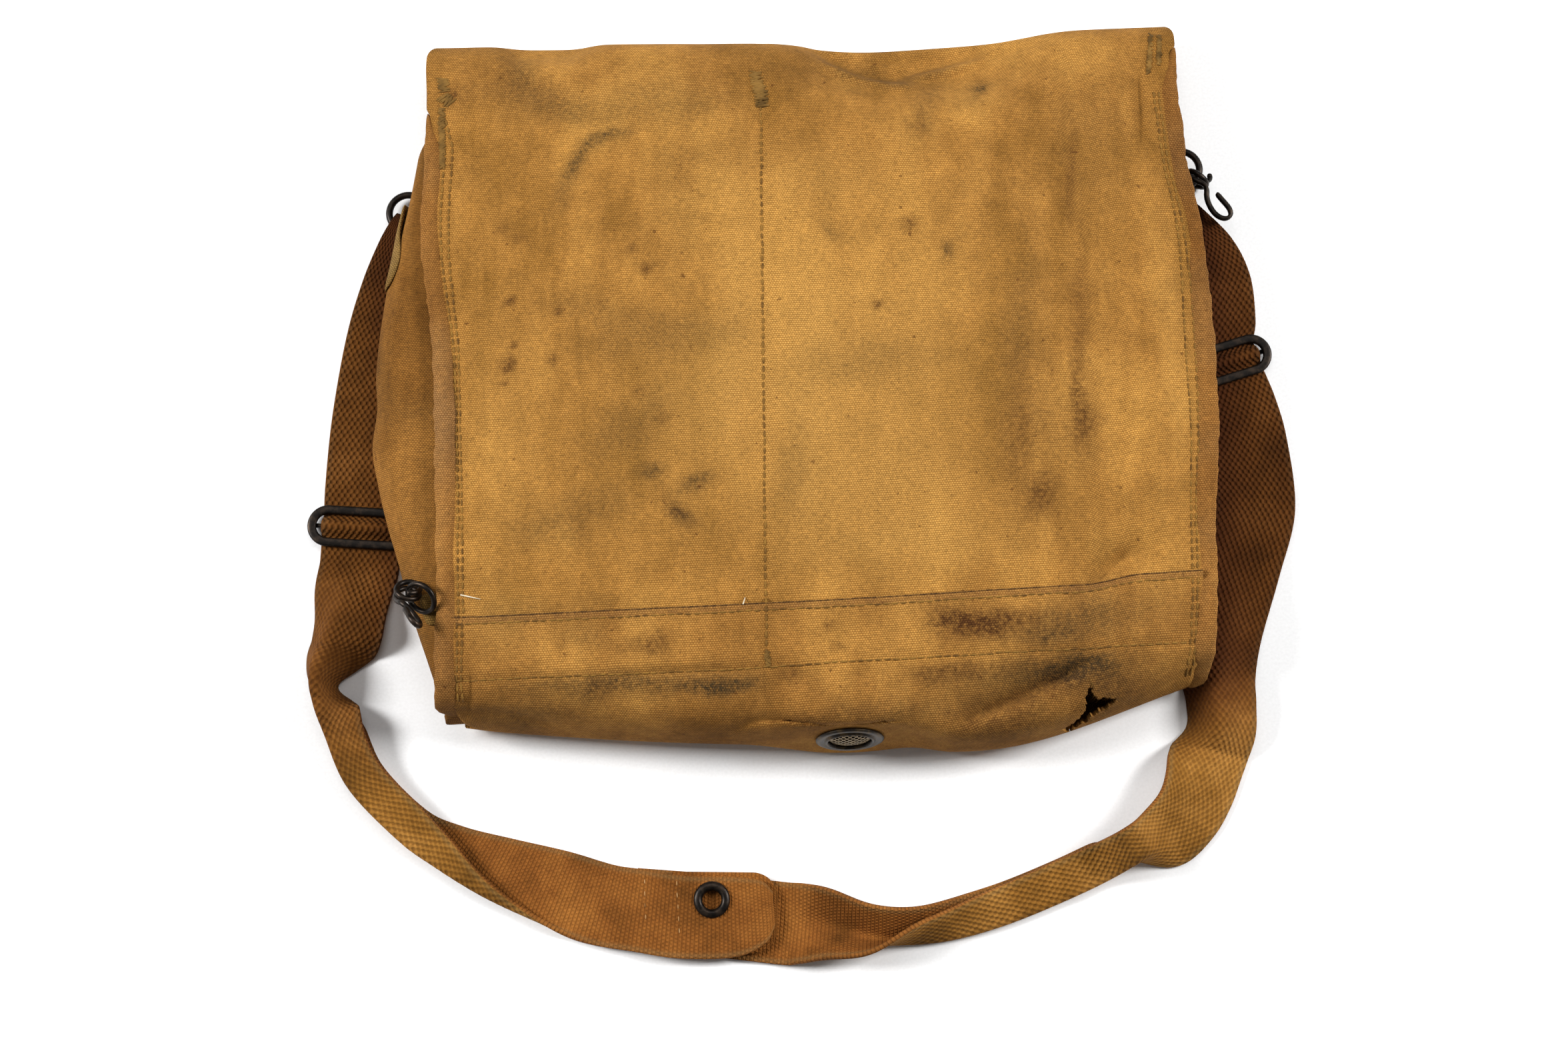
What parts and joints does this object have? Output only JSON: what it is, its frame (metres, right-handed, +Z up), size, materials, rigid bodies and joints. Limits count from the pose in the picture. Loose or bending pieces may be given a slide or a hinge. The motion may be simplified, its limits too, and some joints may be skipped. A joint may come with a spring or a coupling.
{
  "type": "canvas gas mask bag with webbing sling",
  "caption": "Flat canvas satchel lying on its front, with side gussets, a lapped bottom panel, a pierced vent, wire hooks and a folded webbing sling laid round its lower side.",
  "frame": {"origin": "middle of the whole object in plan, on the surface that it lies on", "axes": "+X across the bag towards the hook at its upper right, +Y towards the flap fold, +Z up out of the back face"},
  "size_m": [0.3991, 0.3826, 0.0515],
  "materials": {
    "canvas": "worn khaki duck canvas with stains",
    "gusset_canvas": "khaki duck canvas, darker and less faded",
    "webbing": "brown cotton webbing",
    "blackened_wire": "blackened, rubbed bright on the edges",
    "vent_metal": "dark bronze"
  },
  "bodies": {
    "root": {"back_and_flap": "canvas", "front_and_bottom": "canvas", "left_gusset": "gusset_canvas", "right_gusset": "gusset_canvas", "left_welt": "gusset_canvas", "right_welt": "gusset_canvas", "strap_left": "webbing", "strap_right": "webbing", "tab_backing": "webbing", "tab_eyelet": "blackened_wire", "vent_flange": "vent_metal", "vent_mesh": "vent_metal", "left_strap_ring": "blackened_wire", "right_strap_ring": "blackened_wire", "left_slide": "blackened_wire", "right_slide": "blackened_wire", "right_hook": "blackened_wire", "lower_left_ring": "blackened_wire", "lower_left_hook": "blackened_wire", "left_ring_chape": "gusset_canvas", "right_ring_chape": "gusset_canvas", "lower_left_chape": "gusset_canvas"}
  },
  "joints": []
}
